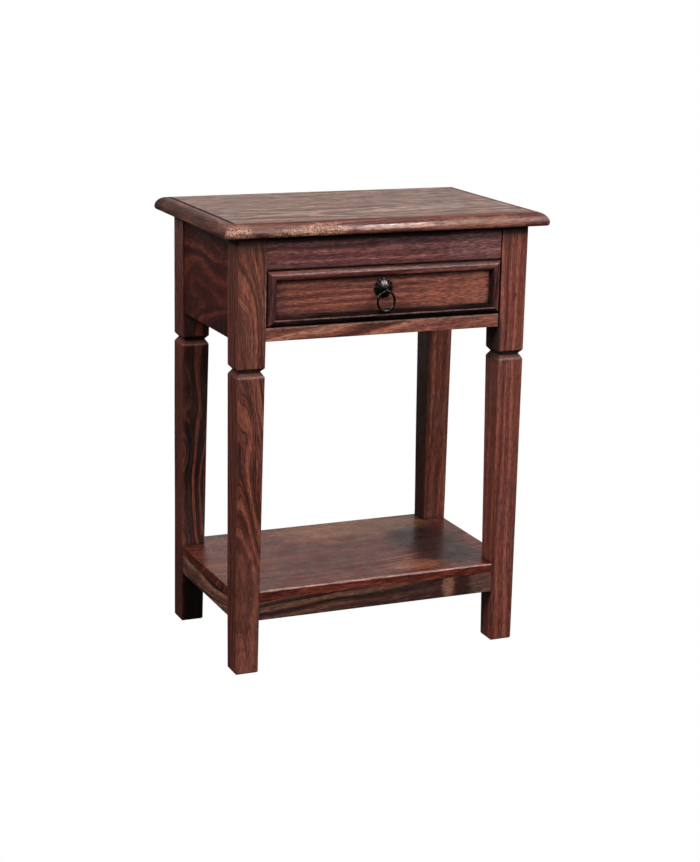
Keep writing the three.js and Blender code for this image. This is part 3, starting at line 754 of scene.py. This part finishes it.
def build_top():
    low, high = corners("top_panel")
    half = (high - low) / 2
    seams = [  # dirt in the joints between the panel and the side mouldings
        patch((x, 0, high.z), (2.0, 240, 6), DIRT_AND_SHADE, strength, ragged=0.3)
        for x, strength in ((low.x, 1.0), (high.x, 0.3))
    ]
    centre = centre_of("top_panel")
    board("top_panel", wood("top_panel_wood", centre, "x", patches=seams, **TOP_WOOD), arris=0.3, cell=20)

    outer, _ = corners("top_moulding_left")
    # a pale line along the left moulding's lower arris: wear and a painted highlight
    left_line = patch((outer.x + 2.5, 0, outer.z + 0.6), (4, 135, 1.3), (128, 92, 82), 0.8, ragged=0.5)
    sides = (  # side, its direction, the grain's, how eased the seam is, patches, seed, shades
        ("front", Vector((0, -1, 0)), "x", 0.05, front_wear_and_highlight(), 51, {}),
        ("back", Vector((0, 1, 0)), "x", 0.1, [], 54, {}),
        ("left", Vector((-1, 0, 0)), "y", 0.9, seams + [left_line], 57, LEFT_EDGE),
        ("right", Vector((1, 0, 0)), "y", 0.5, seams, 60, {}),
    )
    under = Vector((centre.x, centre.y, low.z * MM))
    for side, outwards, along, seam, patches, seed, shades in sides:
        node = "top_moulding_" + side
        reach, length = (half.x, half.y) if along == "y" else (half.y, half.x)
        figure = dict(EDGE_WOOD, seed=seed, patches=patches, **shades)
        material = wood(node + "_wood", centre_of(node), along, **figure)
        section = nose_section(high.z - low.z, seam)
        middle = under + outwards * (reach * MM)
        bm = mitred_strip(section, 2 * length - EDGE_GAP, outwards, AXES["z"], middle, worn=0.6)
        make_piece(node + "_fine", bm, node, material)


# ---------------------------------------------------------------- drawer
BEAD_WIDTH, BEAD_HEIGHT, BEAD_INSET = 13.5, 8.0, 0.5
BEAD_ROUND = 7.6  # how far the rounded outer part of the bead goes in
CREST_LINE = (180, 4, 0.7)  # half sizes of the pale line along a bead's crest: rubbed wear and painted highlight
RUBBED_HIGHLIGHT = (200, 160, 150)
FRONT_WOOD = dict(
    heart=(70, 60), lean=(0.4, 0.4), ring=6.0, wander=2.5, seed=63,
    mid=(112, 60, 49), light=(146, 88, 69), dark=(70, 33, 27),
    fibre=0.6,
)
BEAD_WOOD = dict(
    heart=(12, 10), lean=(1, 1), ring=5.0, wander=3.0,
    gloss=0.5, ior=1.3, coat=0.15, polish=0.1, rubbed=0.15,
)
# lit and shaded copies of the beads' wood: the bottom bead's near black and the left bead's darker colours
# are painted shade, the top and right beads are lighter
BEAD_LIT_AND_SHADED = {
    "top": dict(mid=(90, 46, 41), light=(120, 70, 60), dark=(50, 22, 20)),
    "bottom": dict(mid=(10, 5, 5), light=(20, 10, 10), dark=(5, 3, 3), ior=1.15, coat=0.05),
    "left": dict(mid=(60, 28, 31), light=(84, 46, 46), dark=(34, 14, 16)),
    "right": dict(mid=(84, 46, 42), light=(112, 68, 58), dark=(40, 18, 18)),
}
UNFINISHED = dict(heart=(40, 50), lean=(1, 1), ring=7.0, wander=4.0, coat=0.0, rubbed=0.1)
BOX_WOOD = dict(UNFINISHED, gloss=0.6, mid=(154, 92, 62), light=(190, 122, 86), dark=(113, 63, 42),
                tint=(144, 85, 59))
PLYWOOD = dict(BOX_WOOD, ring=14.0, mid=(185, 122, 82), light=(208, 144, 104), dark=(154, 94, 62))
HIDDEN_WOOD = dict(UNFINISHED, gloss=0.62, mid=(138, 96, 68), light=(172, 128, 92), dark=(98, 62, 44),
                   tint=(128, 90, 64))
HIDDEN_KINDS = ("drawer_runner", "drawer_guide", "drawer_kicker", "drawer_stop", "glue_block")


def bead_section():
    """The bead's outline in mm: out is counted from its inner edge, height from the panel."""
    outer = BEAD_WIDTH - BEAD_INSET
    crest = ellipse((outer - BEAD_ROUND, 2.5), (BEAD_ROUND, BEAD_HEIGHT - 2.5), 0, 90, 18, fullness=0.12)
    slope = ellipse((outer - 9.0, 2.4), (3.1, BEAD_HEIGHT - 2.4), 110, 178, 8)
    return [(outer, EDGE_GAP), *crest, *slope, (0.6, 2.3), (0.0, 1.8), (0.0, EDGE_GAP)]


def bead_patches(side, away, face, inner_edge):
    """A pale line along the crest of the two long beads, rubbed wear and painted highlight, and painted
    shade under the bottom bead's crest and along the inside of the others.
    """
    x, y, z = face / MM
    crest = y - BEAD_HEIGHT
    if side == "top":
        return [patch((x, crest, z + inner_edge + 8.9), CREST_LINE, RUBBED_HIGHLIGHT, 0.38, ragged=1.4)]
    if side == "bottom":
        return [
            patch((x, crest, z - inner_edge - 5.9), CREST_LINE, RUBBED_HIGHLIGHT, 0.28, ragged=1.4),
            # painted shade under the bottom bead's crest
            patch((x, crest, z - inner_edge - 3.4), (180, 4, 1.3), DIRT_AND_SHADE, 0.85, ragged=0.6),
        ]
    # painted shade along the inside of the side beads
    strength = 0.9 if side == "right" else 0.5
    return [patch((x + (inner_edge + 1.6) * away.x, y, z), (1.8, 12, 60), DIRT_AND_SHADE, strength, ragged=0.8)]


def build_beads(face, half):
    """The four mitred beads round the drawer front, given the middle of its face and its half sizes."""
    sides = (
        ("top", Vector((0, 0, 1)), "x", 66),
        ("bottom", Vector((0, 0, -1)), "x", 69),
        ("left", Vector((-1, 0, 0)), "z", 72),
        ("right", Vector((1, 0, 0)), "z", 75),
    )
    for side, away, along, seed in sides:
        node = "drawer_bead_" + side
        reach, length = (half.z, half.x) if along == "x" else (half.x, half.z)
        inner_edge = reach / MM - BEAD_WIDTH
        patches = bead_patches(side, away, face, inner_edge)
        figure = {**BEAD_WOOD, **BEAD_LIT_AND_SHADED[side], "seed": seed}
        material = wood(node + "_wood", centre_of(node), along, patches=patches, **figure)
        inner = 2 * (length / MM - BEAD_WIDTH) - EDGE_GAP
        middle = face + away * (inner_edge * MM)
        bm = mitred_strip(bead_section(), inner, away, Vector((0, -1, 0)), middle, worn=0.3)
        make_piece(node + "_fine", bm, node, material)


def build_drawer():
    low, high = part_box("drawer_front")
    face = Vector(((low.x + high.x) / 2, low.y, (low.z + high.z) / 2))
    x, y, z = face / MM
    patches = [
        patch((x + 115, y, z - 8), (55, 20, 18), (158, 92, 74), 0.5, ragged=1.5),
        # painted shade on the panel beside the left bead
        patch((x - 152, y, z), (10, 20, 40), (70, 34, 28), 0.35, ragged=1.5),
    ]
    board("drawer_front", wood("drawer_front_wood", face, "x", patches=patches, **FRONT_WOOD), arris=1.2)
    build_beads(face, (high - low) / 2)
    for node, along, seed in (("drawer_side_left", "y", 80), ("drawer_side_right", "y", 83),
                              ("drawer_back", "x", 86)):
        board(node, wood(node + "_wood", centre_of(node), along, seed=seed, **BOX_WOOD), arris=0.6)
    ply = wood("drawer_bottom_wood", centre_of("drawer_bottom"), "x", seed=89, **PLYWOOD)
    board("drawer_bottom", ply, arris=0.2)


def build_hidden():
    """Runners, guides, kickers, stops and blocks in bare wood, and their screws."""
    for i, node in enumerate(sorted(frame["nodes"])):
        if node.startswith(HIDDEN_KINDS):
            along = "x" if node.startswith("drawer_stop") else "y"
            material = wood(node + "_wood", centre_of(node), along, seed=100 + 3 * i, **HIDDEN_WOOD)
            board(node, material, arris=0.5)
    steel = zinc_steel("zinc_plated_steel")
    for node, part in frame["nodes"].items():
        if SLOT_OF[node] == "steel":
            part.data.materials.clear()
            part.data.materials.append(steel)


# ---------------------------------------------------------------- ring pull


def skin(rows, closed=False):
    """A mesh over rows of points. Each row is a loop joined to the next. The ends are capped or joined."""
    bm = bmesh.new()
    loops = [[bm.verts.new(point) for point in row] for row in rows]
    following = loops[1:] + loops[:1] if closed else loops[1:]
    for loop, after in zip(loops, following):
        for i in range(len(loop)):
            j = (i + 1) % len(loop)
            bm.faces.new((loop[i], loop[j], after[j], after[i]))
    if not closed:
        bm.faces.new(loops[0])
        bm.faces.new(reversed(loops[-1]))
    return bm


def circle(centre, first, second, radius, steps):
    """Points round a circle in the plane of two unit vectors."""
    angles = [2 * math.pi * i / steps for i in range(steps)]
    return [centre + (first * math.cos(a) + second * math.sin(a)) * radius for a in angles]


def hoop(centre, first, second, radii, wire, steps, uneven, seed):
    """A closed hoop of round wire in the plane of two unit vectors, a little uneven in thickness."""
    aside = first.cross(second)
    rows = []
    for i in range(steps):
        a = 2 * math.pi * i / steps
        out = (first * math.cos(a) / radii[0] + second * math.sin(a) / radii[1]).normalized()
        middle = centre + first * (radii[0] * math.cos(a)) + second * (radii[1] * math.sin(a))
        dent = 0.5 + 0.5 * noise.noise(Vector((2.5 * math.cos(a), 2.5 * math.sin(a), seed)))
        rows.append(circle(middle, out, aside, wire * (1 - uneven * dent), steps=20))
    return skin(rows, closed=True)


X, Y, Z = AXES["x"], AXES["y"], AXES["z"]
EYE_WIRE = 1.25  # radius of the eye's wire in mm
PETALS = 12
PETAL_STEPS = 12  # points round each petal
PETAL_CUT = 0.14  # how far the rim draws in between petals, as a share of the radius
FLUTE_CUT = 0.07  # how far the flutes cut into the dome, as a share of the height
ROSETTE_PROFILE = (  # share of the rim's radius and of the height, how much the petals and the flutes show
    (0.55, 0.0, 0.4, 0), (0.94, 0.0, 1.0, 0), (1.0, 0.08, 1.0, 0), (1.0, 0.2, 1.0, 0),  # back and rim
    (0.96, 0.32, 1.0, 0), (0.87, 0.37, 0.8, 0), (0.79, 0.34, 0.5, 0),  # petals
    (0.75, 0.38, 0.3, 0.3), (0.72, 0.46, 0.2, 0.7), (0.67, 0.6, 0.1, 1), (0.58, 0.75, 0.0, 1),  # dome
    (0.48, 0.87, 0.0, 0.8), (0.37, 0.95, 0.0, 0.4), (0.25, 1.0, 0.0, 0),
)


def rosette_mesh(low, high, bore):
    """A plate with petals round its rim and a fluted dome in its middle, bored for the bolt."""
    centre = Vector(((low.x + high.x) / 2, high.y, (low.z + high.z) / 2))
    rim = (high.x - low.x) / 2
    height = high.y - low.y
    profile = [(bore / rim, 0.0, 0.0, 0), *ROSETTE_PROFILE, (bore / rim, 1.0, 0.0, 0)]
    rows = []
    for share, rise, lobed, fluted in profile:
        row = []
        for i in range(PETAL_STEPS * PETALS):
            a = 2 * math.pi * i / (PETAL_STEPS * PETALS)
            lobe = abs(math.cos(PETALS * a / 2))
            radius = rim * share * (1 - PETAL_CUT * lobed * (1 - lobe ** 0.6))
            depth = height * (rise - FLUTE_CUT * fluted * (1 - lobe))
            row.append(centre + X * (radius * math.cos(a)) - Y * depth + Z * (radius * math.sin(a)))
        rows.append(row)
    return skin(rows, closed=True)


def build_pull():
    plate_low, plate_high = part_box("pull_rosette")
    dome = (plate_low + plate_high) / 2 / MM
    # a paler patch high on the dome: rubbed iron and a painted highlight
    rubbed = patch((dome.x, dome.y, dome.z + 6.2), (3.0, 8, 4.5), (96, 78, 82), 0.9, ragged=0.8)
    iron = black_iron("black_iron", rubbed)
    low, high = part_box("pull_ring")
    wire = (high.y - low.y) / 2
    middle = (low + high) / 2
    ring_radii = ((high.z - low.z) / 2 - wire, (high.x - low.x) / 2 - wire)
    ring = hoop(middle, Z, X, ring_radii, wire, steps=96, uneven=0.12, seed=4)
    make_piece("pull_ring_fine", ring, "pull_ring", iron)

    low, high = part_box("pull_eye_bolt")
    shank = (high.x - low.x) / 2
    rosette = rosette_mesh(plate_low, plate_high, shank + EDGE_GAP * MM)
    make_piece("pull_rosette_fine", rosette, "pull_rosette", iron)

    reach = (high.z - low.z) / 2  # the eye's outer radius
    eye = Vector(((low.x + high.x) / 2, low.y + reach, (low.z + high.z) / 2))
    radius = reach - EYE_WIRE * MM
    eye_hoop = hoop(eye, Y, Z, (radius, radius), EYE_WIRE * MM, steps=56, uneven=0.06, seed=9)
    make_piece("pull_eye_fine", eye_hoop, "pull_eye_bolt", iron)
    ends = [Vector((eye.x, y, (plate_low.z + plate_high.z) / 2)) for y in (eye.y + reach / 2, high.y)]
    rows = [circle(end, X, Z, shank, steps=28) for end in ends]
    make_piece("pull_shank_fine", skin(rows), "pull_eye_bolt", iron)


# ---------------------------------------------------------------- studio
TABLE_MIDDLE = (0, 0, 0.38)
TABLE_TOP = (0, 0, 0.6)
UNDER_TOP = (0, 0, 0.55)
LIGHTS = (  # name, place, what it is aimed at, width and height, watts, colour
    ("key", (1.2, -2.2, 2.2), TABLE_MIDDLE, (2.4, 2.2), 81, (1.0, 0.97, 0.97)),
    ("glint", (1.35, -1.9, 3.0), TABLE_MIDDLE, (0.3, 0.2), 14, (1.0, 0.94, 0.92)),
    ("left", (-2.0, -0.9, 2.2), TABLE_MIDDLE, (1.3, 1.3), 54, (1.0, 0.88, 0.85)),
    ("overhead", (0.1, 0.3, 2.6), TABLE_TOP, (1.8, 1.8), 14, (1.0, 0.95, 0.92)),
    ("back", (0.1, 2.7, 0.45), TABLE_MIDDLE, (1.0, 0.6), 10, (1.0, 0.95, 0.92)),
    ("sheen", (1.3, 3.0, 1.25), UNDER_TOP, (2.6, 1.5), 4.4, (1.0, 0.92, 0.90)),
)


def area_light(name, place, target, size, power, colour):
    data = bpy.data.lights.new(name, "AREA")
    data.shape = "RECTANGLE"
    data.size, data.size_y = size
    data.energy = power
    data.color = colour
    light = bpy.data.objects.new(name, data)
    light.location = place
    aim = Vector(target) - Vector(place)
    light.rotation_euler = aim.to_track_quat("-Z", "Y").to_euler()
    light.visible_camera = False
    bpy.context.scene.collection.objects.link(light)


def white_surface(name):
    """Plain white that throws no light on the table."""
    material, nodes = new_material(name)
    emission = nodes.add("Emission", {"Color": (1, 1, 1, 1), "Strength": 1.0})
    nodes.add("OutputMaterial", {"Surface": emission.outputs[0]})
    material.cycles.emission_sampling = "NONE"
    return material


def only_seen(obj):
    """Shown to the camera, but without effect on the table."""
    for ray in ("diffuse", "glossy", "transmission", "volume_scatter", "shadow"):
        setattr(obj, "visible_" + ray, False)


def build_studio():
    """A white floor just under the feet, a white dome for the camera, a dim room and the lights."""
    bpy.ops.mesh.primitive_plane_add(size=60, location=(0, 0, -0.2 * MM))
    floor = bpy.context.object
    floor.name = "floor"
    floor.data.materials.append(white_surface("floor_white"))
    only_seen(floor)
    bpy.ops.mesh.primitive_uv_sphere_add(radius=29, segments=48, ring_count=24)
    dome = bpy.context.object
    dome.name = "backdrop"
    dome.data.materials.append(white_surface("backdrop_white"))
    only_seen(dome)

    world = bpy.data.worlds.new("studio")
    bpy.context.scene.world = world
    world.use_nodes = True
    nodes = Nodes(world.node_tree)
    direction = nodes.add("TexCoord").outputs["Generated"]
    height = nodes.add("SeparateXYZ", {0: direction}).outputs["Z"]
    grey = nodes.ramp(nodes.spread(height, -1, 1, smooth=False), [
        (0.0, (0.02, 0.018, 0.017, 1)), (0.46, (0.04, 0.036, 0.034, 1)),
        (0.56, (0.18, 0.165, 0.155, 1)), (1.0, (0.24, 0.22, 0.21, 1)),
    ])
    background = nodes.add("Background", {"Color": grey, "Strength": 1.0})
    nodes.add("OutputWorld", {"Surface": background.outputs[0]})

    for light in LIGHTS:
        area_light(*light)

    view = bpy.context.scene.view_settings
    view.view_transform = "Standard"
    view.look = "None"


build_legs()
build_aprons()
build_rails()
build_shelf()
build_top()
build_drawer()
build_hidden()
build_pull()
build_studio()

bpy.context.view_layer.update()
